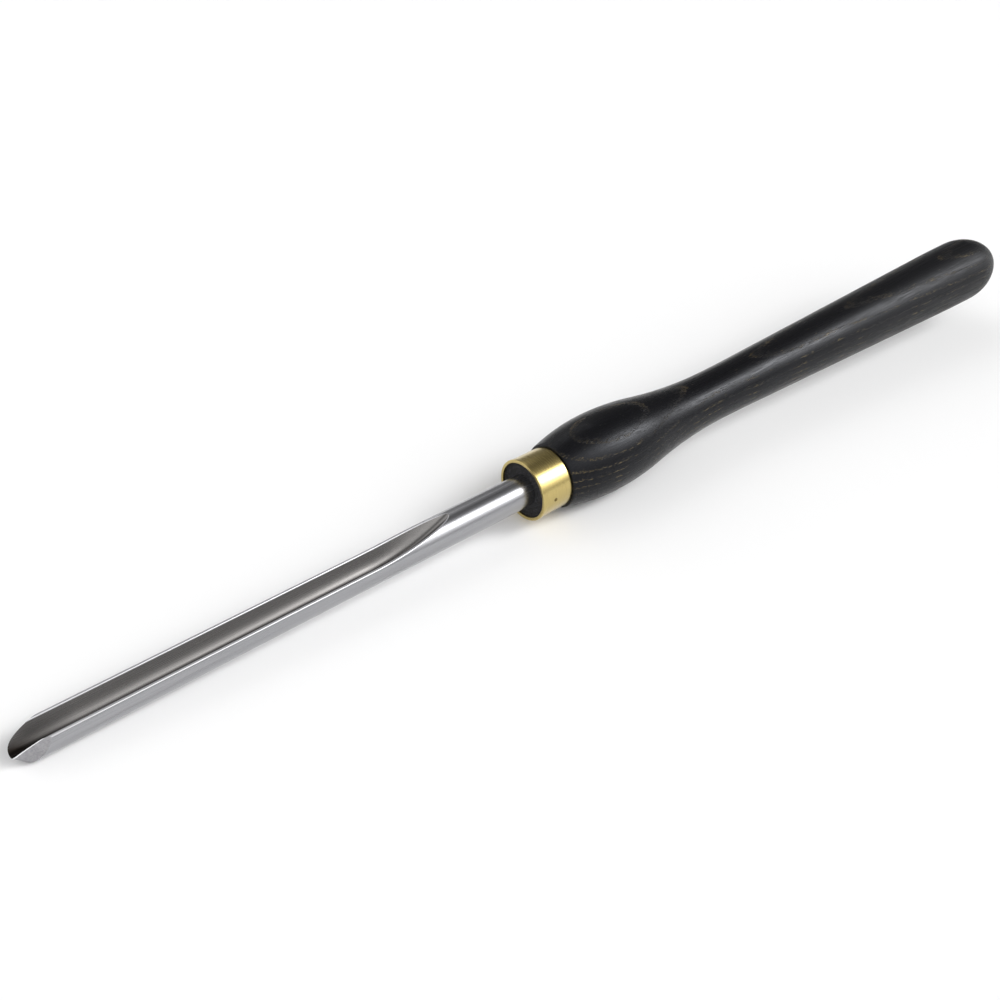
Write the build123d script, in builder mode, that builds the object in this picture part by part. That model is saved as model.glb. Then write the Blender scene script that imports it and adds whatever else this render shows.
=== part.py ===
from build123d import *
import os
from math import acos, asin, atan2, cos, degrees, hypot, radians, sin, sqrt, tan

os.makedirs("parts", exist_ok=True)

# Bowl gouge for woodturning: a round steel bar with a deep flute and a swept-back nose,
# glued into a turned ash handle whose neck is held by a brass ferrule.
# It lies as it comes to rest: on the swell of the handle and the heel under the nose, flute up.
# Sizes are in millimetres. A station is a distance along the tool's axis from the front
# face of the ferrule, minus toward the nose and plus toward the butt.

# Steel bar
bar_diameter = 16.0
blade_reach = 250.0
tang_length = 80.0
tang_chamfer = 1.5

# Flute, a parabola cut along the bar by a formed wheel, whose arc shows where the flute runs out
flute_length = 160.0
flute_floor = 4.55
flute_spread = 5.0
wheel_radius = 95.0
arris_round = 0.8

# Nose grind, part of an elliptical cone that leans down toward the handle
nose_angle = 48.0
grind_half_angle = 30.0
grind_apex_height = 3.6
grind_width_share = 0.76
cutting_margin = 1.0
grinding_stock = 3.0

# Ferrule
ferrule_diameter = 30.6
ferrule_wall = 1.2
ferrule_length = 18.0
lip_height = 0.3
lip_width = 1.6
lip_chamfer = 0.35
rim_chamfer = 0.2
punch_station = 7.6
punch_diameter = 2.0
punch_depth = 0.6
punch_point_angle = 100.0

# Handle
wood_recess = 1.2
shoulder_gap = 0.3
shoulder_diameter = 32.8
shoulder_chamfer = 0.4
swell_station = 51.0
swell_diameter = 41.6
waist_station = 132.0
waist_diameter = 27.3
butt_station = 368.0
butt_diameter = 38.4
butt_dome = 31.0

# Where the hollow curve of the neck takes over from the round of the swell, as a share of the way
ogee_share = 0.36
# The grip is a straight taper, eased in at the waist and out at the butt by arcs that reach
# this far to either side of the corners they round off
waist_ease = 11.0
butt_ease = 14.5
# Radius of the ball at the very end of the butt, as a share of the butt's radius
butt_tip_share = 0.68

bar_radius = bar_diameter / 2
ferrule_radius = ferrule_diameter / 2
tenon_radius = ferrule_radius - ferrule_wall
shoulder_radius = shoulder_diameter / 2
swell_radius = swell_diameter / 2
waist_radius = waist_diameter / 2
butt_radius = butt_diameter / 2
butt_tip_radius = butt_tip_share * butt_radius
shoulder_station = ferrule_length + shoulder_gap

# The front half of the swell is one arc, level at the swell, that comes down to the shoulder
swell_run = swell_station - shoulder_station
swell_drop = swell_radius - shoulder_radius
swell_arc_radius = (swell_run**2 + swell_drop**2) / (2 * swell_drop)

# Flute floor below the bar's axis, and the cone that grinds the nose through the floor's end
floor_depth = bar_radius - flute_floor
grind_lean = nose_angle - grind_half_angle
apex_station = -blade_reach - (grind_apex_height + floor_depth) / tan(radians(nose_angle))
heel_station = -blade_reach + flute_floor / tan(radians(nose_angle))

# At rest one level line touches the heel under the nose and the arc under the swell
heel_to_arc_centre = hypot(swell_station - heel_station, swell_arc_radius - swell_radius + bar_radius)
rest_tilt = asin(swell_arc_radius / heel_to_arc_centre) - atan2(
    swell_arc_radius - swell_radius + bar_radius, swell_station - heel_station
)

# The origin is on the surface that the tool lies on, midway between nose and butt
nose_end = -blade_reach * cos(rest_tilt) + floor_depth * sin(rest_tilt)
butt_end = (butt_station + butt_dome - butt_tip_radius) * cos(rest_tilt) + butt_tip_radius
ferrule_x = -(nose_end + butt_end) / 2
ferrule_z = bar_radius * cos(rest_tilt) - heel_station * sin(rest_tilt)

# Planes through the tool's axis: an upright one, and a level one that the handle is drawn in
tool_direction = Vector(cos(rest_tilt), 0, sin(rest_tilt))
along = Plane(origin=(ferrule_x, 0, ferrule_z), x_dir=tool_direction, z_dir=(0, -1, 0))
level = Plane(origin=along.origin, x_dir=tool_direction, z_dir=along.y_dir)
tool_axis = Axis(along.origin, tool_direction)


def across(station):
    """Plane square to the tool's axis, its x sideways and its y up through the flute."""
    return Plane(origin=along.from_local_coords((station, 0)), x_dir=(0, 1, 0), z_dir=tool_direction)


def rim_at(piece, station, radius):
    """The edge of a turned piece that runs round it at a station and radius."""
    return piece.edges().sort_by_distance(along.from_local_coords((station, -radius)))[0]


def grinding_plane(distance):
    """Plane square to the cone's axis, at a distance from its apex."""
    apex = along.from_local_coords((apex_station, grind_apex_height))
    toward_handle = (
        along.x_dir * cos(radians(grind_lean)) - along.y_dir * sin(radians(grind_lean))
    )
    return Plane(origin=apex + toward_handle * distance, x_dir=(0, 1, 0), z_dir=toward_handle)


# Steel that the grinding wheel takes off the nose: a ring round the bar, outside the cone
top_slope = tan(radians(grind_half_angle - grind_lean))
grind_end = apex_station + (bar_radius + 2 * cutting_margin - grind_apex_height) / top_slope
grind_start = -blade_reach - grinding_stock - cutting_margin
cone_length = (grind_end - apex_station + bar_radius) / cos(radians(grind_lean))

with BuildPart() as ground_off:
    with BuildSketch(across(grind_start)):
        Circle(bar_radius + cutting_margin)
    extrude(amount=grind_end - grind_start)
    for distance in (cutting_margin, cone_length):
        cone_radius = distance * tan(radians(grind_half_angle))
        with BuildSketch(grinding_plane(distance)):
            Ellipse(grind_width_share * cone_radius, cone_radius)
    loft(ruled=True, mode=Mode.SUBTRACT)

# Section of the flute, open past the top of the bar
flute_top = bar_radius + cutting_margin
flute_half_width = sqrt(flute_spread * (flute_top + floor_depth))
wheel_sweep = degrees(acos(1 - (flute_top + floor_depth) / wheel_radius))
flute_stock = blade_reach + grinding_stock

with BuildSketch() as flute_section:
    with BuildLine():
        Bezier(
            (-flute_half_width, flute_top),
            (0, -2 * floor_depth - flute_top),
            (flute_half_width, flute_top),
        )
        Line((flute_half_width, flute_top), (-flute_half_width, flute_top))
    make_face()

with BuildPart() as blade:
    with BuildSketch(across(-flute_stock)):
        Circle(bar_radius)
    extrude(amount=flute_stock + tang_length)
    chamfer(blade.faces().sort_by(tool_axis)[-1].edges(), tang_chamfer)
    with BuildSketch(across(-flute_stock)):
        add(flute_section.sketch)
    extrude(amount=grinding_stock + flute_length, mode=Mode.SUBTRACT)
    run_out = flute_length - blade_reach
    wheel_centre = along.from_local_coords((run_out, wheel_radius - floor_depth))
    with BuildSketch(across(run_out)):
        add(flute_section.sketch)
    revolve(axis=Axis(wheel_centre, (0, -1, 0)), revolution_arc=wheel_sweep, mode=Mode.SUBTRACT)
    fillet(blade.edges().filter_by(GeomType.BSPLINE), arris_round)
    add(ground_off.part, mode=Mode.SUBTRACT)
blade.part.label = "blade"
export_step(blade.part, "parts/blade.step")

# Brass tube pressed over the handle's tenon, with a raised lip, staked by one punch mark
with BuildPart() as ferrule:
    with BuildSketch(along):
        with BuildLine():
            Polyline(
                (0, tenon_radius),
                (0, ferrule_radius + lip_height),
                (lip_width, ferrule_radius + lip_height),
                (lip_width + lip_height, ferrule_radius),
                (ferrule_length, ferrule_radius),
                (ferrule_length, tenon_radius),
                close=True,
            )
        make_face()
    revolve(axis=tool_axis)
    chamfer(rim_at(ferrule, 0, ferrule_radius + lip_height), lip_chamfer)
    chamfer(rim_at(ferrule, 0, tenon_radius), rim_chamfer)
    chamfer(rim_at(ferrule, ferrule_length, ferrule_radius), rim_chamfer)
    punch_top = along.from_local_coords((punch_station, 0)) + Vector(0, -ferrule_radius, 0)
    with BuildSketch(Plane(origin=punch_top, x_dir=tool_direction, z_dir=(0, 1, 0))):
        Circle(punch_diameter / 2)
    extrude(amount=punch_depth, taper=punch_point_angle / 2, mode=Mode.SUBTRACT)
ferrule.part.label = "ferrule"
export_step(ferrule.part, "parts/ferrule.step")

# Corners of the grip's outline, and the arc that joins the butt's side to its ball end
waist_corner = Vector(waist_station + waist_ease, waist_radius)
butt_corner = Vector(butt_station - butt_ease, butt_radius)
taper_direction = (butt_corner - waist_corner).normalized()
butt_side_radius = (butt_dome**2 + butt_radius**2 - 2 * butt_dome * butt_tip_radius) / (
    2 * (butt_radius - butt_tip_radius)
)
butt_side_centre = Vector(butt_station, butt_radius - butt_side_radius)
butt_tip_centre = Vector(butt_station + butt_dome - butt_tip_radius, 0)
butt_blend = butt_tip_centre + (butt_tip_centre - butt_side_centre).normalized() * butt_tip_radius

# Turned handle: tenon, shoulder, swell, waist and a grip that grows to the rounded butt
with BuildPart() as handle:
    with BuildSketch(level):
        with BuildLine():
            swell = Vector(swell_station, swell_radius)
            waist = Vector(waist_station, waist_radius)
            neck = swell + (waist - swell) * ogee_share
            taper_start = waist_corner + taper_direction * waist_ease
            taper_end = butt_corner - taper_direction * butt_ease
            Polyline(
                (butt_station + butt_dome, 0),
                (tang_length, 0),
                (tang_length, bar_radius),
                (wood_recess, bar_radius),
                (wood_recess, tenon_radius),
                (shoulder_station, tenon_radius),
                (shoulder_station, shoulder_radius),
            )
            TangentArc(swell, (shoulder_station, shoulder_radius), tangent=(-1, 0))
            swell_back = TangentArc(swell, neck, tangent=(1, 0))
            TangentArc(neck, waist, tangent=swell_back % 1)
            TangentArc(waist, taper_start, tangent=(1, 0))
            Line(taper_start, taper_end)
            TangentArc((butt_station, butt_radius), taper_end, tangent=(-1, 0))
            butt_side = TangentArc((butt_station, butt_radius), butt_blend, tangent=(1, 0))
            TangentArc(butt_blend, (butt_station + butt_dome, 0), tangent=butt_side % 1)
        make_face()
    revolve(axis=tool_axis)
    chamfer(rim_at(handle, shoulder_station, shoulder_radius), shoulder_chamfer)
handle.part.label = "handle"
export_step(handle.part, "parts/handle.step")
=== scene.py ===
import logging
from abc import ABC, abstractmethod
from dataclasses import dataclass, field
from enum import Enum
from math import atan2, cos, hypot, pi, radians, sin, sqrt, tan

import bmesh
import bpy
from bmesh.types import BMEdge, BMesh, BMVert
from bpy.types import Material, Node, NodeSocket, NodeTree, Object
from mathutils import Euler, Matrix, Vector


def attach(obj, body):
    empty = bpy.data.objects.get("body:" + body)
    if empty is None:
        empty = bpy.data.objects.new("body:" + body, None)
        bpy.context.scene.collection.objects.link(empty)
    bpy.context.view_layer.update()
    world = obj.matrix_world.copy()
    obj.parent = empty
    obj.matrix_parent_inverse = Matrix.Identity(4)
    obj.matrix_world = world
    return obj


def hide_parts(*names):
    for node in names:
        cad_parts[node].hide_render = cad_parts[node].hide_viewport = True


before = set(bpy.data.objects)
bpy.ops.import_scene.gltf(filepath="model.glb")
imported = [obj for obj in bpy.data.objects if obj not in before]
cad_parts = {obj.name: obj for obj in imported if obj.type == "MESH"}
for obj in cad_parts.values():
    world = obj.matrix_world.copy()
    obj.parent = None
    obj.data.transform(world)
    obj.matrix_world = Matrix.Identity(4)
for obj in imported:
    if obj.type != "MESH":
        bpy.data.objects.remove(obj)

# Sizes are in millimetres, as on a drawing of the tool, and become metres when a piece is placed.
# A station is a distance along the tool's axis from the front face of the ferrule, minus toward
# the nose and plus toward the butt. In the tool's own axes x is the station, y is sideways and
# z is up, out of the flute.
MM = 0.001
ROOT = "root"

# Points nearer than the first are merged, and ones nearer than the second count as in one place.
# So many rounds of narrowing settle a length to far less than either.
MERGE = 0.0005
NEAR = 0.01
SEARCH_ROUNDS = 40

Sockets = dict[str | int, object]
Section = list[tuple[float, float]]
Levels = tuple[tuple[float, float], ...]

log = logging.getLogger("bowl_gouge")


def linear(hex_colour: str) -> tuple[float, float, float, float]:
    """Turns an sRGB hex colour into the linear colour that a shader socket takes.

    Args:
        hex_colour: The colour as "#rrggbb".

    Returns:
        Red, green, blue and an alpha of 1.
    """
    parts = [int(hex_colour[i : i + 2], 16) / 255 for i in (1, 3, 5)]
    red, green, blue = (c / 12.92 if c <= 0.04045 else ((c + 0.055) / 1.055) ** 2.4 for c in parts)
    return red, green, blue, 1.0


def add_node(tree: NodeTree, kind: str, sockets: Sockets | None = None, **settings: object) -> Node:
    """Adds a node with its settings, and fills or links its input sockets.

    Args:
        tree: The node tree that the node goes into.
        kind: The node's type name, without the ShaderNode that it starts with.
        sockets: Input socket name or index to a value, or to the socket or node that feeds it.
        **settings: Properties of the node itself.

    Returns:
        The new node.
    """
    node = tree.nodes.new(f"ShaderNode{kind}")
    for name, value in settings.items():
        setattr(node, name, value)
    for key, value in (sockets or {}).items():
        if isinstance(value, Node):
            value = next(output for output in value.outputs if output.enabled)
        if isinstance(value, NodeSocket):
            tree.links.new(value, node.inputs[key])
        else:
            node.inputs[key].default_value = value
    return node


def span(side: str, limits: tuple[float, float]) -> Sockets:
    """Names a range's two ends as the sockets of a Map Range node, "From" or "To"."""
    return {f"{side} Min": limits[0], f"{side} Max": limits[1]}


def mottle(
    tree: NodeTree,
    place: Node,
    size: tuple[float, float, float],
    detail: float,
    roughness: float = 0.5,
) -> Node:
    """Wires an uneven pattern whose marks have a real size in the tool's axes.

    Args:
        tree: The material's node tree.
        place: The surface point's place.
        size: How long, wide and high a mark is.
        detail: How many layers of finer marks lie over the first.
        roughness: How strongly the finer marks show.

    Returns:
        The node that gives the pattern, which wavers about a half.
    """
    scale = tuple(1 / side for side in size)
    drawn_out = add_node(tree, "Mapping", {"Vector": place, "Scale": scale})
    sockets = {"Vector": drawn_out, "Scale": 1.0, "Detail": detail, "Roughness": roughness}
    return add_node(tree, "TexNoise", sockets)


@dataclass(frozen=True)
class ToolFrame:
    """Where the tool's own axes lie in the model's frame, as it rests on its nose and swell."""

    ferrule_x: float = -74.5107
    ferrule_z: float = 18.6806
    rest_tilt: float = 2.49113

    def placement(self) -> Matrix:
        """Gives the transform from the tool's axes, in millimetres, to the model's, in metres."""
        origin = Matrix.Translation(Vector((self.ferrule_x, 0, self.ferrule_z)) * MM)
        return origin @ Matrix.Rotation(-radians(self.rest_tilt), 4, "Y") @ Matrix.Scale(MM, 4)

    def coordinates(self, tree: NodeTree) -> Node:
        """Adds nodes that give a surface point's place in the tool's axes, in millimetres.

        Args:
            tree: The material's node tree.

        Returns:
            The node that gives the place.
        """
        sockets = {
            "Vector": add_node(tree, "TexCoord").outputs["Object"],
            "Location": (self.ferrule_x * MM, 0, self.ferrule_z * MM),
            "Rotation": (0, -radians(self.rest_tilt), 0),
            "Scale": (MM, MM, MM),
        }
        return add_node(tree, "Mapping", sockets, vector_type="TEXTURE")


TOOL = ToolFrame()


@dataclass(frozen=True)
class Flute:
    """The flute: a parabola milled along the bar by a formed wheel, which lifts out on an arc."""

    length: float = 160.0
    floor_depth: float = 3.45
    spread: float = 5.0
    wheel_radius: float = 95.0

    def height(self, sideways: float, past: float) -> float:
        """Gives the height of the flute's surface above the bar's axis.

        Args:
            sideways: Distance from the middle of the flute.
            past: Distance past the station where the wheel starts to lift.

        Returns:
            The height that the wheel leaves.
        """
        floor = sideways**2 / self.spread - self.floor_depth
        wheel_height = self.wheel_radius - self.floor_depth
        return wheel_height - sqrt((wheel_height - floor) ** 2 - past**2)

    def nearest_wall(self, sideways: float, height: float, past: float) -> tuple[float, float]:
        """Finds the flute's wall nearest to a point in the steel beside it.

        Args:
            sideways: The point's distance from the middle of the flute.
            height: The point's height above the bar's axis.
            past: Distance past the station where the wheel starts to lift.

        Returns:
            Where across the flute the wall is nearest, and how far away it is there.
        """
        low, high = 0.0, sideways
        for _ in range(SEARCH_ROUNDS):
            thirds = [low + (high - low) * share for share in (1 / 3, 2 / 3)]
            gaps = [hypot(y - sideways, self.height(y, past) - height) for y in thirds]
            low, high = (thirds[0], high) if gaps[0] > gaps[1] else (low, thirds[1])
        return low, hypot(low - sideways, self.height(low, past) - height)

    def run_out(self, bar_radius: float) -> float:
        """Gives how far past the lift the wheel still cuts into a bar.

        Args:
            bar_radius: The bar's radius.

        Returns:
            The length of the run-out.
        """
        wheel_above_bar = self.wheel_radius - self.floor_depth - bar_radius
        return sqrt(self.wheel_radius**2 - wheel_above_bar**2)


FLUTE = Flute()


class Cut(Enum):
    """What one solid does to another."""

    REMOVE = "DIFFERENCE"
    KEEP = "INTERSECT"


def as_object(name: str, mesh: BMesh, slots: int = 0) -> Object:
    """Makes an object of a bmesh and frees the bmesh.

    Args:
        name: The object's name.
        mesh: The finished bmesh.
        slots: How many empty material slots the mesh gets.

    Returns:
        The new object, linked to the scene.
    """
    data = bpy.data.meshes.new(name)
    mesh.to_mesh(data)
    mesh.free()
    for _ in range(slots):
        data.materials.append(None)
    made = bpy.data.objects.new(name, data)
    bpy.context.scene.collection.objects.link(made)
    return made


def cut_solid(solid: BMesh, cutter: BMesh, cut: Cut, slots: int) -> BMesh:
    """Cuts one closed bmesh with another and frees both.

    Args:
        solid: What is cut.
        cutter: What cuts it. Its faces keep their material index on the cut.
        cut: Whether the cutter's space is removed or kept.
        slots: How many material slots both meshes have.

    Returns:
        The cut solid.
    """
    target, tool = as_object("cut_target", solid, slots), as_object("cut_tool", cutter, slots)
    modifier = target.modifiers.new("cut", "BOOLEAN")
    modifier.object, modifier.operation, modifier.solver = tool, cut.value, "EXACT"
    graph = bpy.context.evaluated_depsgraph_get()
    result = bmesh.new()
    result.from_object(target, graph)
    for used in (target, tool):
        data = used.data
        bpy.data.objects.remove(used)
        bpy.data.meshes.remove(data)
    return result


class Outline:
    """Half section of a turned piece, drawn edge by edge in the plane through the tool's axis."""

    def __init__(self, station: float, radius: float) -> None:
        """Starts the outline at a point.

        Args:
            station: Where it starts along the axis.
            radius: Where it starts out from the axis.
        """
        self.mesh = bmesh.new()
        self.tip = self.mesh.verts.new((station, 0, radius))
        self.heading = Vector((1, 0, 0))

    def line_to(self, station: float, radius: float) -> "Outline":
        """Draws a straight edge.

        Args:
            station: Where the edge ends along the axis.
            radius: Where it ends out from the axis.

        Returns:
            The outline itself.
        """
        end = Vector((station, 0, radius))
        self.heading = (end - self.tip.co).normalized()
        grown = bmesh.ops.extrude_vert_indiv(self.mesh, verts=[self.tip])
        self.tip = grown["verts"][0]
        self.tip.co = end
        return self

    def arc_to(self, station: float, radius: float, steps: int) -> "Outline":
        """Draws an arc that carries on in the direction in which the outline arrived.

        Args:
            station: Where the arc ends along the axis.
            radius: Where it ends out from the axis.
            steps: How many edges the arc gets.

        Returns:
            The outline itself.
        """
        chord = Vector((station, 0, radius)) - self.tip.co
        side = Vector((-self.heading.z, 0, self.heading.x))
        centre = self.tip.co + side * chord.length_squared / (2 * chord.dot(side))
        turn = 2 * atan2(chord.dot(side), chord.dot(self.heading))
        spun = bmesh.ops.spin(
            self.mesh, geom=[self.tip], cent=centre, axis=(0, -1, 0), angle=turn, steps=steps
        )
        self.tip = next(e for e in spun["geom_last"] if isinstance(e, BMVert))
        self.heading = Matrix.Rotation(turn, 3, (0, -1, 0)) @ self.heading
        return self

    def turn_to(self, station: float, radius: float) -> "Outline":
        """Sets the direction in which the next arc leaves, without drawing."""
        self.heading = Vector((station, 0, radius)).normalized()
        return self

    def turned(self, segments: int) -> BMesh:
        """Spins the outline once round the axis.

        Args:
            segments: How many faces go round the piece.

        Returns:
            The closed turned piece.
        """
        bmesh.ops.spin(
            self.mesh,
            geom=self.mesh.verts[:] + self.mesh.edges[:],
            cent=(0, 0, 0),
            axis=(1, 0, 0),
            angle=2 * pi,
            steps=segments,
            use_merge=True,
        )
        bmesh.ops.remove_doubles(self.mesh, verts=self.mesh.verts[:], dist=MERGE)
        bmesh.ops.recalc_face_normals(self.mesh, faces=self.mesh.faces[:])
        return self.mesh


def ring_at(mesh: BMesh, station: float, radius: float) -> list[BMEdge]:
    """Finds the edges that run round a turned piece at a station and radius.

    Args:
        mesh: The turned piece, in the tool's axes.
        station: The ring's place along the axis.
        radius: The ring's radius.

    Returns:
        The ring's edges.
    """
    near = {
        v
        for v in mesh.verts
        if abs(v.co.x - station) < NEAR and abs(v.co.yz.length - radius) < NEAR
    }
    return [e for e in mesh.edges if e.verts[0] in near and e.verts[1] in near]


def round_edges(mesh: BMesh, edges: list[BMEdge], size: float, segments: int) -> None:
    """Rounds edges off.

    Args:
        mesh: The mesh that the edges belong to.
        edges: What is rounded.
        size: How far the rounding reaches from the edge.
        segments: How many faces go across the rounding.
    """
    bmesh.ops.bevel(
        mesh,
        geom=edges,
        offset=size,
        offset_type="OFFSET",
        affect="EDGES",
        segments=segments,
        profile=0.5,
        clamp_overlap=True,
        material=-1,
    )


def finish_piece(
    name: str,
    mesh: BMesh,
    materials: list[Material],
    node: str,
    sharp_angle: float,
) -> Object:
    """Places a piece, shades it smooth between its sharp edges, and puts it in the frame.

    Args:
        name: The piece's name.
        mesh: The piece in the tool's axes, in millimetres.
        materials: Its materials, in the order of its faces' indices.
        node: The model's node that it stands for.
        sharp_angle: Edges that turn more than this many degrees stay crisp.

    Returns:
        The placed object.
    """
    bmesh.ops.transform(mesh, matrix=TOOL.placement(), verts=mesh.verts[:])
    for face in mesh.faces:
        face.smooth = True
    for edge in mesh.edges:
        edge.smooth = len(edge.link_faces) == 2 and edge.calc_face_angle(0) < radians(sharp_angle)
    count = sum(len(f.verts) - 2 for f in mesh.faces)
    piece = as_object(name, mesh)
    for material in materials:
        piece.data.materials.append(material)
    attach(piece, ROOT)
    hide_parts(node)
    log.info("%s: %d triangles, %d finishes", name, count, len(materials))
    return piece


@dataclass(frozen=True)
class Finish(ABC):
    """One finish of the tool, which fills one material."""

    name: str

    def material(self) -> Material:
        """Builds the finish's material.

        Returns:
            The material.
        """
        made = bpy.data.materials.new(self.name)
        made.use_nodes = True
        tree = made.node_tree
        tree.nodes.clear()
        shader = add_node(tree, "BsdfPrincipled", self.surface(tree, TOOL.coordinates(tree)))
        add_node(tree, "OutputMaterial", {"Surface": shader})
        return made

    @abstractmethod
    def surface(self, tree: NodeTree, place: Node) -> Sockets:
        """Wires the finish's patterns.

        Args:
            tree: The material's node tree.
            place: The surface point's place.

        Returns:
            What goes into the shader's sockets.
        """


@dataclass(frozen=True)
class Metal(Finish):
    """Bare metal, whose machining lines catch the light in two tones."""

    colour: str
    shade_colour: str
    roughness: tuple[float, float]

    def two_tone(self, tree: NodeTree, lines: Node, contrast: tuple[float, float]) -> Sockets:
        """Wires a pattern of lines to the metal's colour and roughness.

        Args:
            tree: The material's node tree.
            lines: The pattern.
            contrast: Where in the pattern the shade ends and the full colour begins.

        Returns:
            What goes into the shader's sockets.
        """
        share = add_node(tree, "MapRange", {"Value": lines} | span("From", contrast))
        colours = {"Factor": share, "A": linear(self.shade_colour), "B": linear(self.colour)}
        rough = {"Value": share} | span("To", self.roughness[::-1])
        return {
            "Base Color": add_node(tree, "Mix", colours, data_type="RGBA"),
            "Metallic": 1.0,
            "Roughness": add_node(tree, "MapRange", rough),
        }


@dataclass(frozen=True)
class Steel(Metal):
    """High-speed steel, bare, polished along its length or ground on a wheel.

    Polishing leaves fine streaks with broader clouds in them, and grinding a matt, finely pitted
    face. The streaks are drawn coarser than a polisher leaves them, which would not show.
    """

    streak: tuple[float, float]
    streak_depth: float
    contrast: tuple[float, float] = (0.34, 0.66)
    cloud_stretch: tuple[float, float] = (2.0, 25 / 3)
    cloud_share: float = 0.3
    grit: float = 0.0

    def surface(self, tree: NodeTree, place: Node) -> Sockets:
        """Wires the streaks and pits, and what use has left on the steel.

        Args:
            tree: The material's node tree.
            place: The surface point's place.

        Returns:
            What goes into the shader's sockets.
        """
        length, width = self.streak
        streaks = mottle(tree, place, (length, width, width), 3.0, 0.6)
        length, width = length * self.cloud_stretch[0], width * self.cloud_stretch[1]
        clouds = mottle(tree, place, (length, width, width), 2.0)
        tone = add_node(tree, "Mix", {"Factor": self.cloud_share, "A": streaks, "B": clouds})
        sockets = self.two_tone(tree, tone, self.contrast)
        # A finish that carries painted shade or a painted highlight mixes it into the colour here.
        sockets["Base Color"] = self.used(tree, place, sockets["Base Color"])
        depth = self.streak_depth * MM
        bump = add_node(tree, "Bump", {"Height": streaks, "Distance": depth})
        if self.grit:
            pits = mottle(tree, place, (self.grit,) * 3, 2.0, 0.7)
            relief = {"Height": pits, "Distance": depth, "Normal": bump}
            bump = add_node(tree, "Bump", relief)
        return sockets | {"Normal": bump}

    def used(self, tree: NodeTree, place: Node, colour: Node) -> Node:
        """Leaves the colour as it is, with no painted shade or highlight."""
        return colour


@dataclass(frozen=True)
class FluteSteelPaintedShade(Steel):
    """Milled steel with painted shade: a dark brown mixed into its colour, deepest on the flute's
    floor and strongest near the nose.
    """

    # Painted shade: its colour, the height at which it fades out, the stations and strengths over
    # which it grows toward the nose, and the largest share of it mixed in.
    painted_shade_colour: str = "#231f1c"
    painted_shade_height: float = 4.5
    painted_shade_stations: tuple[float, float] = (-222.0, -250.0)
    painted_shade_strength: tuple[float, float] = (0.5, 1.9)
    painted_shade_share: float = 0.62

    def used(self, tree: NodeTree, place: Node, colour: Node) -> Node:
        """Paints shade on the flute's floor, most of all near the nose.

        Args:
            tree: The material's node tree.
            place: The surface point's place.
            colour: Gives the clean steel's colour.

        Returns:
            The node that gives the colour with the grime.
        """
        parts = add_node(tree, "SeparateXYZ", {0: place}).outputs
        heights = span("From", (self.painted_shade_height, -FLUTE.floor_depth))
        strengths = span("From", self.painted_shade_stations) | span("To", self.painted_shade_strength)
        deep = {"Value": parts[2], "To Max": self.painted_shade_share} | heights
        share = {
            0: add_node(tree, "MapRange", deep),
            1: add_node(tree, "MapRange", {"Value": parts[0]} | strengths),
        }
        colours = {
            "Factor": add_node(tree, "Math", share, operation="MULTIPLY"),
            "A": colour,
            "B": linear(self.painted_shade_colour),
        }
        return add_node(tree, "Mix", colours, data_type="RGBA")


@dataclass(frozen=True)
class GroundSteelPaintedHighlight(Steel):
    """Ground steel with a painted highlight: a narrow near-white strip along the cutting edge."""

    # Painted highlight: its colour, and the depths under the flute's surface over which it fades.
    painted_highlight_colour: str = "#f4f4f6"
    painted_highlight_depths: tuple[float, float] = (0.8, 0.5)

    def used(self, tree: NodeTree, place: Node, colour: Node) -> Node:
        """Paints a highlight on the strip of steel just under the flute's surface.

        Args:
            tree: The material's node tree.
            place: The surface point's place.
            colour: Gives the ground steel's colour.

        Returns:
            The node that gives the colour with the painted highlight.
        """
        parts = add_node(tree, "SeparateXYZ", {0: place}).outputs
        square = add_node(tree, "Math", {0: parts[1], 1: parts[1]}, operation="MULTIPLY")
        parabola = {0: square, 1: 1 / FLUTE.spread, 2: -FLUTE.floor_depth}
        flute = add_node(tree, "Math", parabola, operation="MULTIPLY_ADD")
        depth = add_node(tree, "Math", {0: flute, 1: parts[2]}, operation="SUBTRACT")
        strip = add_node(tree, "MapRange", {"Value": depth} | span("From", self.painted_highlight_depths))
        colours = {"Factor": strip, "A": colour, "B": linear(self.painted_highlight_colour)}
        return add_node(tree, "Mix", colours, data_type="RGBA")


@dataclass(frozen=True)
class Brass(Metal):
    """Brass tube, turned and lightly lacquered, which gives a warm gold with fine lines round it.

    The lines are drawn a little coarser than a lathe tool's, which would not show.
    """

    name: str = "turned_brass"
    colour: str = "#cdba7a"
    shade_colour: str = "#b7a263"
    roughness: tuple[float, float] = (0.2, 0.3)
    contrast: tuple[float, float] = (0.3, 0.7)
    line_size: tuple[float, float, float] = (0.18, 14.0, 14.0)
    line_depth: float = 0.004
    lacquer: float = 0.35
    lacquer_roughness: float = 0.2

    def surface(self, tree: NodeTree, place: Node) -> Sockets:
        """Wires the lines that the turning left, and the lacquer over them.

        Args:
            tree: The material's node tree.
            place: The surface point's place.

        Returns:
            What goes into the shader's sockets.
        """
        lines = mottle(tree, place, self.line_size, 3.0, 0.6)
        relief = {"Height": lines, "Distance": self.line_depth * MM}
        return self.two_tone(tree, lines, self.contrast) | {
            "Coat Weight": self.lacquer,
            "Coat Roughness": self.lacquer_roughness,
            "Normal": add_node(tree, "Bump", relief),
        }


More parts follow.
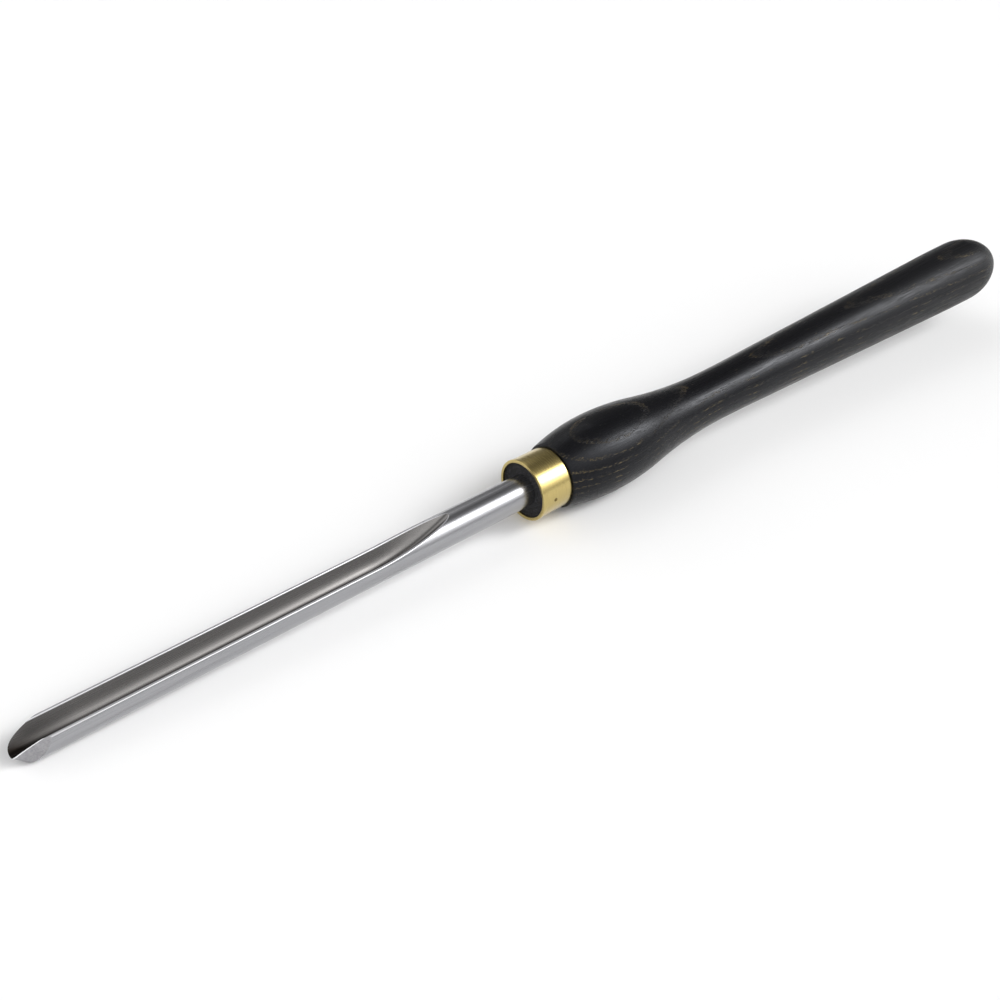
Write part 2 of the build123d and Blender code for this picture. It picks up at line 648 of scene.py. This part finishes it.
@dataclass(frozen=True)
class EbonisedAsh(Finish):
    """Ash stained black and finished with a satin lacquer, which hands have dulled on the grip.

    Ash has rings of open pores. The stain leaves the pores' walls a dull gold brown, so the rings
    show as rows of fine flecks along the handle, and as arches where the turning cuts across them.
    """

    name: str = "ebonised_ash"
    stain: str = "#050506"
    bloom: str = "#131316"
    fleck: str = "#5e533c"
    sheen: str = "#f4f7ff"
    gloss: float = 0.2
    roughness: tuple[float, float] = (0.2, 0.4)
    grip: tuple[float, float] = (150.0, 340.0)
    grip_dulling: float = 0.15
    pith_side: float = 8.0
    pith_height: float = -52.0
    pith_lean: float = 0.012
    ring_width: float = 3.2
    ring_waver: float = 3.6
    waver_size: tuple[float, float, float] = (60.0, 22.0, 22.0)
    ring_pores: tuple[float, float] = (0.42, 0.06)
    pore_size: tuple[float, float, float] = (3.6, 0.3, 0.3)
    pore_depth: float = 0.05
    pore_rarity: tuple[float, float] = (0.74, 0.52)
    pore_edge: float = 0.07
    patch_size: float = 18.0
    patch_contrast: tuple[float, float] = (0.45, 0.65)
    patch_low: float = 0.08
    grain_size: tuple[float, float, float] = (34.0, 0.5, 0.5)
    grain_depth: float = 0.012
    grain_contrast: tuple[float, float] = (0.4, 0.6)

    def surface(self, tree: NodeTree, place: Node) -> Sockets:
        """Wires the grain, the flecks of the pores in it and the dulled grip.

        Args:
            tree: The material's node tree.
            place: The surface point's place.

        Returns:
            What goes into the shader's sockets.
        """
        pores = self.pores(tree, place)
        grain = mottle(tree, place, self.grain_size, 4.0, 0.7)
        fibres = add_node(tree, "MapRange", {"Value": grain} | span("From", self.grain_contrast))
        wood = {"Factor": fibres, "A": linear(self.stain), "B": linear(self.bloom)}
        colours = {
            "Factor": self.in_patches(tree, place, pores),
            "A": add_node(tree, "Mix", wood, data_type="RGBA"),
            "B": linear(self.fleck),
        }
        station = add_node(tree, "SeparateXYZ", {0: place}).outputs[0]
        grip = {"Value": station, "To Max": self.grip_dulling} | span("From", self.grip)
        roughness = {
            0: add_node(tree, "MapRange", {"Value": fibres} | span("To", self.roughness[::-1])),
            1: add_node(tree, "MapRange", grip),
        }
        combed = {"Height": grain, "Distance": self.grain_depth * MM}
        pitted = {
            "Height": add_node(tree, "Math", {0: pores, 1: -1.0}, operation="MULTIPLY"),
            "Distance": self.pore_depth * MM,
            "Normal": add_node(tree, "Bump", combed),
        }
        return {
            "Base Color": add_node(tree, "Mix", colours, data_type="RGBA"),
            "Roughness": add_node(tree, "Math", roughness, operation="ADD"),
            "IOR": 1.5,
            "Specular IOR Level": self.gloss,
            "Specular Tint": linear(self.sheen),
            "Normal": add_node(tree, "Bump", pitted),
        }

    def rings(self, tree: NodeTree, place: Node) -> Node:
        """Wires the growth rings, round a pith that lies outside the handle and leans along it.

        Args:
            tree: The material's node tree.
            place: The surface point's place.

        Returns:
            The node that gives 1 in the porous wood where a ring begins, and 0 elsewhere.
        """
        parts = add_node(tree, "SeparateXYZ", {0: place}).outputs
        slope = {0: parts[0], 1: self.pith_lean, 2: -self.pith_height}
        lean = add_node(tree, "Math", slope, operation="MULTIPLY_ADD")
        from_pith = {
            "X": add_node(tree, "Math", {0: parts[1], 1: -self.pith_side}, operation="ADD"),
            "Y": add_node(tree, "Math", {0: parts[2], 1: lean}, operation="ADD"),
        }
        flat = add_node(tree, "CombineXYZ", from_pith)
        distance = add_node(tree, "VectorMath", {0: flat}, operation="LENGTH")
        waver = mottle(tree, place, self.waver_size, 2.0)
        wavy = {0: waver, 1: self.ring_waver, 2: distance}
        wavy_distance = add_node(tree, "Math", wavy, operation="MULTIPLY_ADD")
        count = {0: wavy_distance, 1: 1 / self.ring_width}
        rings = add_node(tree, "Math", count, operation="MULTIPLY")
        phase = add_node(tree, "Math", {0: rings}, operation="FRACT")
        porous = {"Value": phase} | span("From", self.ring_pores)
        return add_node(tree, "MapRange", porous, interpolation_type="SMOOTHSTEP")

    def pores(self, tree: NodeTree, place: Node) -> Node:
        """Wires the pores: short dashes along the grain, crowded where each ring begins.

        Args:
            tree: The material's node tree.
            place: The surface point's place.

        Returns:
            The node that gives 1 in a pore and 0 beside it.
        """
        rarity = {"Value": self.rings(tree, place)} | span("To", self.pore_rarity)
        over = {
            0: mottle(tree, place, self.pore_size, 1.0, 0.4),
            1: add_node(tree, "MapRange", rarity),
        }
        dashes = add_node(tree, "Math", over, operation="SUBTRACT")
        return add_node(tree, "MapRange", {"Value": dashes, "From Max": self.pore_edge})

    def in_patches(self, tree: NodeTree, place: Node, pores: Node) -> Node:
        """Fades the pores' colour away in patches, where the stain has filled them.

        Args:
            tree: The material's node tree.
            place: The surface point's place.
            pores: Gives the pores.

        Returns:
            The node that says how strongly the pores show.
        """
        patchy = mottle(tree, place, (self.patch_size,) * 3, 2.0)
        filled = {"Value": patchy, "To Min": self.patch_low} | span("From", self.patch_contrast)
        shown = {0: pores, 1: add_node(tree, "MapRange", filled)}
        return add_node(tree, "Math", shown, operation="MULTIPLY")


@dataclass(frozen=True)
class EndGrain(Finish):
    """The tenon's sawn end, stained black and left rough, which drinks up the light.

    Its pits are drawn coarser than the pores of ash, which would not show.
    """

    name: str = "stained_end_grain"
    colour: str = "#0d0d0f"
    light: str = "#55535a"
    contrast: tuple[float, float] = (0.5, 0.75)
    pit_size: float = 0.7
    pit_depth: float = 0.6

    def surface(self, tree: NodeTree, place: Node) -> Sockets:
        """Wires the pits between the torn fibres.

        Args:
            tree: The material's node tree.
            place: The surface point's place.

        Returns:
            What goes into the shader's sockets.
        """
        pits = mottle(tree, place, (self.pit_size,) * 3, 3.0, 0.65)
        share = add_node(tree, "MapRange", {"Value": pits} | span("From", self.contrast))
        colours = {"Factor": share, "A": linear(self.colour), "B": linear(self.light)}
        relief = {"Height": pits, "Distance": self.pit_depth * MM}
        return {
            "Base Color": add_node(tree, "Mix", colours, data_type="RGBA"),
            "Roughness": 0.8,
            "IOR": 1.45,
            "Normal": add_node(tree, "Bump", relief),
        }


class BladeFace(Enum):
    """The machined surfaces of the blade, in the order of their materials."""

    BAR = 0
    FLUTE = 1
    ARRIS = 2
    GROUND = 3


@dataclass
class Blade:
    """The round bar with its milled flute, buffed arrises and ground nose.

    The bevel operator can't round the flute's long edges across the narrow facets of a cut bar,
    so the blade's section is drawn with its arrises round and extruded along the tool. The ground
    nose is the inside of a cone, cut out of the bar.
    """

    radius: float = 8.0
    reach: float = 250.0
    tang: float = 80.0
    tang_bevel: float = 1.5
    flute: Flute = FLUTE
    arris: float = 0.8
    nose_angle: float = 48.0
    cone_half_angle: float = 30.0
    cone_height: float = 3.6
    cone_width_share: float = 0.76
    cone_lengths: float = 3.0
    cone_steps: int = 720
    margin: float = 3.0
    grind_room: float = 35.0
    bar_steps: int = 96
    arris_steps: int = 9
    flute_steps: int = 40
    run_out_steps: int = 80
    run_out_gap: float = 0.001
    sharp_angle: float = 35.0
    finishes: dict[BladeFace, Steel] = field(
        default_factory=lambda: {
            BladeFace.BAR: Steel(
                "polished_steel_bar", "#acacaf", "#99999c", (0.21, 0.29), (50.0, 0.3), 0.004
            ),
            # The flute's steel gets painted shade on its floor.
            BladeFace.FLUTE: FluteSteelPaintedShade(
                "milled_steel_flute", "#8f8d8b", "#7c7a79", (0.24, 0.32), (40.0, 0.2), 0.009
            ),
            # The arrises get a brighter copy of the bar's steel: a painted highlight along the
            # flute's edges.
            BladeFace.ARRIS: Steel(
                "arris_steel_painted_highlight", "#cfcfd2", "#c2c2c5", (0.26, 0.32), (50.0, 0.3), 0.002
            ),
            # The ground nose gets a painted highlight along its cutting edge.
            BladeFace.GROUND: GroundSteelPaintedHighlight(
                "ground_steel_nose", "#abaaad", "#929194", (0.4, 0.5), (0.9, 0.5), 0.012, grit=0.2
            ),
        }
    )

    def section(self, past: float) -> Section:
        """Works out the blade's section: bar, buffed arris, flute, arris and bar again.

        Args:
            past: Distance past the station where the formed wheel starts to lift.

        Returns:
            Points round the section, sideways and height, from underneath.
        """
        inner = self.radius - self.arris
        turn, high = 0.0, pi / 2
        for _ in range(SEARCH_ROUNDS):
            trial = (turn + high) / 2
            centre = (inner * cos(trial), inner * sin(trial))
            buried = centre[1] < self.flute.height(centre[0], past)
            clear = buried and self.flute.nearest_wall(*centre, past)[1] > self.arris
            turn, high = (trial, high) if clear else (turn, trial)
        centre = (inner * cos(turn), inner * sin(turn))
        wall = self.flute.nearest_wall(*centre, past)[0]
        start = -pi / 2
        end = atan2(self.flute.height(wall, past) - centre[1], wall - centre[0])
        half = []
        for step in range(self.bar_steps + 1):
            angle = start + (turn - start) * step / self.bar_steps
            half.append((self.radius * cos(angle), self.radius * sin(angle)))
        for step in range(1, self.arris_steps):
            angle = turn + (end - turn) * step / self.arris_steps
            half.append((centre[0] + self.arris * cos(angle), centre[1] + self.arris * sin(angle)))
        for step in range(self.flute_steps + 1):
            sideways = wall * (1 - step / self.flute_steps)
            half.append((sideways, self.flute.height(sideways, past)))
        return half + [(-y, z) for y, z in reversed(half[1:-1])]

    def stations(self) -> list[tuple[float, Section]]:
        """Lists the blade's sections from the nose to the end of the tang.

        Returns:
            The station and the points of each section.
        """
        lift = self.flute.length - self.reach
        run_out = self.flute.run_out(self.radius)
        sections = [(-self.reach - self.margin, self.section(0))]
        for step in range(self.run_out_steps + 1):
            past = run_out * sin(pi / 2 * step / self.run_out_steps)
            sections.append((lift + past, self.section(min(past, run_out - self.run_out_gap))))
        last = sections[-1][1]
        for station, radius in (
            (lift + run_out + 2 * self.margin, self.radius),
            (self.tang - self.tang_bevel, self.radius),
            (self.tang, self.radius - self.tang_bevel),
        ):
            share = radius / self.radius
            sections.append((station, [(y * share, z * share) for y, z in last]))
        log.info("blade: %d sections of %d points", len(sections), len(last))
        return sections

    def length_of(self, sections: list[tuple[float, Section]]) -> BMesh:
        """Extrudes a length of the blade from section to section, closed at both ends.

        Args:
            sections: The station and the points of each section, from the nose on.

        Returns:
            The length, with its faces marked for their finishes.
        """
        mesh = bmesh.new()
        place = mesh.verts.layers.int.new("place")
        (start, points), *others = sections
        rim_verts = [mesh.verts.new((start, y, z)) for y, z in points]
        for index, vert in enumerate(rim_verts):
            vert[place] = index
        rim = mesh.faces.new(rim_verts).edges[:]
        for station, points in others:
            grown = bmesh.ops.extrude_edge_only(mesh, edges=rim)["geom"]
            fresh = {e for e in grown if isinstance(e, BMVert)}
            for vert in fresh:
                vert.co = (station, *points[vert[place]])
            rim = [e for e in grown if isinstance(e, BMEdge) and fresh.issuperset(e.verts)]
        bmesh.ops.edgeloop_fill(mesh, edges=rim)
        middle = len(points) // 2
        for face in mesh.faces:
            off_middle = max(abs(v[place] - middle) for v in face.verts)
            if off_middle <= self.flute_steps:
                face.material_index = BladeFace.FLUTE.value
            elif off_middle <= self.flute_steps + self.arris_steps:
                face.material_index = BladeFace.ARRIS.value
        bmesh.ops.recalc_face_normals(mesh, faces=mesh.faces[:])
        return mesh

    def nose_cone(self) -> BMesh:
        """Makes the leaning elliptical cone whose inside the grinding wheel leaves.

        Returns:
            The cone, with its faces marked for the ground finish.
        """
        lean = self.nose_angle - self.cone_half_angle
        run = (self.cone_height + self.flute.floor_depth) / tan(radians(self.nose_angle))
        apex = Vector((-self.reach - run, 0, self.cone_height))
        length = self.cone_lengths * (self.reach + self.tang)
        place = Matrix.Translation(apex) @ Matrix.Rotation(radians(90 + lean), 4, "Y")
        mesh = bmesh.new()
        bmesh.ops.create_cone(
            mesh,
            cap_ends=True,
            segments=self.cone_steps,
            radius1=0,
            radius2=length * tan(radians(self.cone_half_angle)),
            depth=length,
            matrix=place
            @ Matrix.Diagonal((1, self.cone_width_share, 1, 1))
            @ Matrix.Translation((0, 0, length / 2)),
        )
        bmesh.ops.remove_doubles(mesh, verts=mesh.verts[:], dist=MERGE)
        bmesh.ops.recalc_face_normals(mesh, faces=mesh.faces[:])
        for face in mesh.faces:
            face.material_index = BladeFace.GROUND.value
        return mesh

    def build(self) -> Object:
        """Grinds the nose, joins the rest of the bar to it and dresses the blade.

        Only the front is cut, because a cut through the whole bar takes far more memory.

        Returns:
            The placed blade.
        """
        sections = self.stations()
        joint = self.grind_room - self.reach
        nose = self.length_of([sections[0], (joint, sections[0][1])])
        mesh = cut_solid(nose, self.nose_cone(), Cut.KEEP, len(BladeFace))
        rest = as_object("rest", self.length_of([(joint, sections[0][1]), *sections[1:]]))
        mesh.from_mesh(rest.data)
        bpy.data.objects.remove(rest)
        at_joint = [f for f in mesh.faces if all(abs(v.co.x - joint) < NEAR for v in f.verts)]
        bmesh.ops.delete(mesh, geom=at_joint, context="FACES_ONLY")
        bmesh.ops.remove_doubles(mesh, verts=mesh.verts[:], dist=MERGE)
        materials = [self.finishes[face].material() for face in BladeFace]
        return finish_piece("gouge_blade", mesh, materials, "blade", self.sharp_angle)


class FerruleFace(Enum):
    """The surfaces of the ferrule, in the order of their materials."""

    TURNED = 0
    STRUCK = 1


@dataclass
class Ferrule:
    """The brass tube round the handle's tenon, staked by one punch mark."""

    radius: float = 15.3
    wall: float = 1.2
    length: float = 18.0
    lip_height: float = 0.3
    lip_width: float = 1.6
    lip_round: float = 0.35
    lip_steps: int = 8
    rim_round: float = 0.2
    rim_steps: int = 6
    punch_station: float = 7.6
    punch_radius: float = 1.0
    punch_depth: float = 0.6
    punch_overshoot: float = 2.0
    punch_steps: int = 32
    segments: int = 256
    sharp_angle: float = 24.0
    finish: Brass = Brass()
    # The punch pit gets darker, unlacquered brass: painted shade in the pit.
    struck: Brass = Brass("punch_pit_brass_painted_shade", "#8f7c4a", "#5c4d2c", lacquer=0.0)

    def build(self) -> Object:
        """Turns the ferrule, stakes it and dresses it.

        Returns:
            The placed ferrule.
        """
        bore, lip = self.radius - self.wall, self.radius + self.lip_height
        outline = Outline(0, bore).line_to(0, lip).line_to(self.lip_width, lip)
        outline.line_to(self.lip_width + self.lip_height, self.radius)
        outline.line_to(self.length, self.radius).line_to(self.length, bore).line_to(0, bore)
        mesh = outline.turned(self.segments)
        round_edges(mesh, ring_at(mesh, 0, lip), self.lip_round, self.lip_steps)
        for rim in ((0, bore), (self.length, self.radius)):
            round_edges(mesh, ring_at(mesh, *rim), self.rim_round, self.rim_steps)
        mesh = cut_solid(mesh, self.punch(), Cut.REMOVE, len(FerruleFace))
        materials = [self.finish.material(), self.struck.material()]
        return finish_piece("gouge_ferrule", mesh, materials, "ferrule", self.sharp_angle)

    def punch(self) -> BMesh:
        """Makes the punch's pointed end, where it struck the ferrule's side.

        Returns:
            The punch as a cone, with its faces marked for the struck brass, whose darker colour is
            painted shade.
        """
        reach = self.punch_depth + self.punch_overshoot
        middle = -self.radius + (self.punch_depth - self.punch_overshoot) / 2
        mesh = bmesh.new()
        bmesh.ops.create_cone(
            mesh,
            cap_ends=True,
            segments=self.punch_steps,
            radius1=reach * self.punch_radius / self.punch_depth,
            radius2=0,
            depth=reach,
            matrix=Matrix.Translation((self.punch_station, middle, 0))
            @ Matrix.Rotation(-pi / 2, 4, "X"),
        )
        bmesh.ops.remove_doubles(mesh, verts=mesh.verts[:], dist=MERGE)
        bmesh.ops.recalc_face_normals(mesh, faces=mesh.faces[:])
        for face in mesh.faces:
            face.material_index = FerruleFace.STRUCK.value
        return mesh


class HandleFace(Enum):
    """The surfaces of the handle, in the order of their materials."""

    TURNED = 0
    END_GRAIN = 1


@dataclass
class Handle:
    """The turned handle, from its bored tenon to its round butt.

    The shoulder, swell, waist and butt are each a station and the radius there.
    """

    bore: float = 8.0
    bore_end: float = 80.0
    recess: float = 1.2
    tenon: float = 14.1
    shoulder: tuple[float, float] = (18.3, 16.4)
    shoulder_round: float = 0.4
    shoulder_steps: int = 3
    swell: tuple[float, float] = (51.0, 20.8)
    swell_steps: tuple[int, int] = (24, 20)
    ogee_share: float = 0.36
    neck_steps: int = 28
    waist: tuple[float, float] = (132.0, 13.65)
    waist_ease: float = 11.0
    waist_steps: int = 8
    grip_steps: int = 5
    butt: tuple[float, float] = (368.0, 19.2)
    butt_ease: float = 14.5
    butt_dome: float = 31.0
    butt_tip: float = 13.056
    butt_steps: tuple[int, int, int] = (10, 20, 24)
    segments: int = 256
    sharp_angle: float = 35.0
    finish: EbonisedAsh = EbonisedAsh()
    end_finish: EndGrain = EndGrain()

    def outline(self) -> Outline:
        """Draws the handle's half section, from the bottom of its bore round to its butt.

        Returns:
            The outline.
        """
        swell, waist, butt = Vector(self.swell), Vector(self.waist), Vector(self.butt)
        neck = swell + (waist - swell) * self.ogee_share
        waist_corner = waist + Vector((self.waist_ease, 0))
        butt_corner = butt - Vector((self.butt_ease, 0))
        taper = (butt_corner - waist_corner).normalized()
        grip_start = waist_corner + taper * self.waist_ease
        grip_end = butt_corner - taper * self.butt_ease
        side_radius = (self.butt_dome**2 + butt.y**2 - 2 * self.butt_dome * self.butt_tip) / (
            2 * (butt.y - self.butt_tip)
        )
        side_centre = butt - Vector((0, side_radius))
        tip_centre = butt + Vector((self.butt_dome - self.butt_tip, -butt.y))
        blend = tip_centre + (tip_centre - side_centre).normalized() * self.butt_tip
        swell_run, swell_drop = swell.x - self.shoulder[0], swell.y - self.shoulder[1]
        swell_arc = (swell_run**2 + swell_drop**2) / (2 * swell_drop)

        line = Outline(self.bore_end, 0).line_to(self.bore_end, self.bore)
        line.line_to(self.recess, self.bore).line_to(self.recess, self.tenon)
        line.line_to(self.shoulder[0], self.tenon).line_to(*self.shoulder)
        before, after = self.swell_steps
        line.turn_to(swell_arc - swell_drop, swell_run).arc_to(*swell, before)
        line.turn_to(1, 0).arc_to(*neck, after).arc_to(*waist, self.neck_steps)
        line.turn_to(1, 0).arc_to(*grip_start, self.waist_steps)
        for step in range(self.grip_steps):
            line.line_to(*grip_start.lerp(grip_end, (step + 1) / self.grip_steps))
        ease, side, tip = self.butt_steps
        line.arc_to(*butt, ease).turn_to(1, 0).arc_to(*blend, side)
        return line.arc_to(butt.x + self.butt_dome, 0, tip)

    def build(self) -> Object:
        """Turns the handle and dresses it.

        Returns:
            The placed handle.
        """
        mesh = self.outline().turned(self.segments)
        edge = ring_at(mesh, *self.shoulder)
        round_edges(mesh, edge, self.shoulder_round, self.shoulder_steps)
        for face in mesh.faces:
            middle = face.calc_center_median()
            ahead = middle.x < self.shoulder[0] - NEAR and middle.yz.length < self.tenon + NEAR
            kind = HandleFace.END_GRAIN if ahead else HandleFace.TURNED
            face.material_index = kind.value
        materials = [self.finish.material(), self.end_finish.material()]
        return finish_piece(
            "gouge_handle", mesh, materials, "handle", self.sharp_angle
        )


@dataclass
class Studio:
    """A light tent, whose walls glow evenly along the tool, with a white floor and the camera.

    Each wall has its levels of light by degrees round the tool, from the floor on the camera's
    side, overhead, to the floor behind. Each blend says between which directions along the tool
    the next wall takes over.
    """

    floor_size: float = 14.0
    floor_colour: str = "#f7f7f7"
    open_end: Levels = (
        (0, 0.9), (40, 1.2), (62, 1.2), (80, 0.4), (104, 0.4), (122, 1.05), (150, 1.05), (180, 0.9),
    )
    nose_wall: Levels = (
        (0, 0.36), (6, 0.5), (13, 0.86), (24, 1.0), (43, 0.9), (64, 0.9), (73, 0.4), (84, 0.25),
        (96, 0.2), (112, 0.2), (121, 0.5), (129, 0.6), (150, 0.4), (180, 0.4),
    )
    bar_wall: Levels = (
        (0, 0.36), (6, 0.5), (13, 0.86), (24, 1.1), (35, 1.5), (43, 2.5), (50, 3.2), (58, 3.2),
        (66, 1.4), (73, 0.45), (84, 0.25), (96, 0.2), (112, 0.2), (121, 0.65), (129, 0.95),
        (140, 0.9), (152, 0.45), (180, 0.4),
    )
    handle_wall: Levels = (
        (0, 0.3), (6, 0.4), (13, 0.8), (24, 1.7), (35, 4.0), (45, 12.0), (52, 15.0), (59, 13.0),
        (66, 4.0), (72, 0.6), (80, 0.25), (112, 0.12), (130, 0.12), (150, 0.15), (180, 0.3),
    )
    butt_wall: Levels = (
        (0, 0.3), (6, 0.3), (13, 0.4), (24, 0.8), (35, 1.4), (45, 2.0), (59, 2.0), (66, 1.2),
        (72, 0.4), (80, 0.2), (112, 0.12), (150, 0.12), (180, 0.2),
    )
    end_blend: tuple[float, float] = (0.06, 0.14)
    nose_blend: tuple[float, float] = (0.15, 0.19)
    handle_blend: tuple[float, float] = (0.43, 0.54)
    butt_blend: tuple[float, float] = (0.72, 0.84)
    paper_edge: tuple[float, float] = (0.06, 0.03)
    camera_place: tuple[float, float, float] = (-0.3985, -0.33358, 0.346)
    camera_turn: tuple[float, float, float] = (54.28, -3.062, -40.706)
    sensor_width: float = 36.0
    lens: float = 43.2

    def build(self) -> None:
        """Lays the floor, lights the tent and sets up the camera."""
        self.lay_floor()
        self.light_tent()
        self.place_camera()

    def lay_floor(self) -> None:
        """Lays a plain matt floor of white paper under the tool."""
        mesh = bmesh.new()
        bmesh.ops.create_grid(mesh, x_segments=1, y_segments=1, size=self.floor_size / 2)
        floor = as_object("studio_floor", mesh)
        paper = bpy.data.materials.new("white_backdrop_paper")
        paper.use_nodes = True
        shader = paper.node_tree.nodes["Principled BSDF"]
        shader.inputs["Base Color"].default_value = linear(self.floor_colour)
        shader.inputs["Roughness"].default_value = 0.9
        shader.inputs["Specular IOR Level"].default_value = 0.1
        floor.data.materials.append(paper)

    def light_tent(self) -> None:
        """Makes the tent's walls glow by their angle round the tool and by how far along it.

        The walls are brightest above the camera and dim overhead, which draws a broad highlight
        along the bar and the handle.
        """
        world = bpy.data.worlds.new("light_tent")
        bpy.context.scene.world = world
        world.use_nodes = True
        tree = world.node_tree
        tree.nodes.clear()
        direction = add_node(tree, "TexCoord").outputs["Generated"]
        parts = add_node(tree, "SeparateXYZ", {0: direction}).outputs
        toward = add_node(tree, "Math", {0: parts[1], 1: -1.0}, operation="MULTIPLY")
        angle = add_node(tree, "Math", {0: parts[2], 1: toward}, operation="ARCTAN2")
        share = add_node(tree, "MapRange", {"Value": angle, "From Max": pi})
        top = max(level for _, level in self.handle_wall)
        walls = self.wall(tree, share, self.open_end, top)
        for levels, blend in (
            (self.nose_wall, self.end_blend),
            (self.bar_wall, self.nose_blend),
            (self.handle_wall, self.handle_blend),
            (self.butt_wall, self.butt_blend),
        ):
            colours = {
                "Factor": add_node(tree, "MapRange", {"Value": parts[0]} | span("From", blend)),
                "A": walls,
                "B": self.wall(tree, share, levels, top),
            }
            walls = add_node(tree, "Mix", colours, data_type="RGBA")
        walls = self.backdrop(tree, parts[2], walls, top)
        light = add_node(tree, "Background", {"Color": walls, "Strength": top})
        add_node(tree, "OutputWorld", {"Surface": light})

    def backdrop(self, tree: NodeTree, height: NodeSocket, walls: Node, top: float) -> Node:
        """Puts plain white paper behind the tool, which metal also shows low down.

        Args:
            tree: The world's node tree.
            height: Gives the sine of the direction's height above the horizon.
            walls: Gives the light of the tent's walls.
            top: The level that the ramps' white stands for.

        Returns:
            The node that gives the light with the paper in it.
        """
        seen = add_node(tree, "LightPath").outputs
        rays = {0: seen["Is Glossy Ray"], 1: seen["Is Transmission Ray"]}
        in_metal = {
            0: add_node(tree, "Math", rays, operation="MAXIMUM"),
            1: add_node(tree, "MapRange", {"Value": height} | span("From", self.paper_edge)),
        }
        low = add_node(tree, "Math", in_metal, operation="MULTIPLY")
        share = {0: seen["Is Camera Ray"], 1: low}
        colours = {
            "Factor": add_node(tree, "Math", share, operation="MAXIMUM"),
            "A": walls,
            "B": (1 / top, 1 / top, 1 / top, 1),
        }
        return add_node(tree, "Mix", colours, data_type="RGBA")

    def wall(self, tree: NodeTree, share: Node, levels: Levels, top: float) -> Node:
        """Adds the ramp that gives one length of the tent its levels of light.

        Args:
            tree: The world's node tree.
            share: Gives the angle round the tool, as a share of the half turn.
            levels: The angle in degrees and the level at each stop.
            top: The level that the ramp's white stands for.

        Returns:
            The ramp.
        """
        node = add_node(tree, "ValToRGB", {"Fac": share})
        ramp = node.color_ramp
        ramp.interpolation = "EASE"
        for angle, _ in levels[1:-1]:
            ramp.elements.new(angle / levels[-1][0])
        for stop, (_, level) in zip(ramp.elements, levels, strict=True):
            stop.color = (level / top, level / top, level / top, 1)
        return node

    def place_camera(self) -> None:
        """Sets the camera where the photograph was taken from."""
        data = bpy.data.cameras.new("camera")
        data.sensor_width, data.lens = self.sensor_width, self.lens
        data.clip_start = 0.01
        camera = bpy.data.objects.new("camera", data)
        bpy.context.scene.collection.objects.link(camera)
        camera.location = self.camera_place
        camera.rotation_euler = Euler([radians(a) for a in self.camera_turn])
        bpy.context.scene.camera = camera


def main() -> None:
    """Builds the studio and the tool."""
    logging.basicConfig(level=logging.INFO, format="%(name)s: %(message)s")
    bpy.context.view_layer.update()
    bpy.context.scene.view_settings.view_transform = "Standard"
    Studio().build()
    for part in (Blade(), Ferrule(), Handle()):
        part.build()


if __name__ == "__main__":
    main()
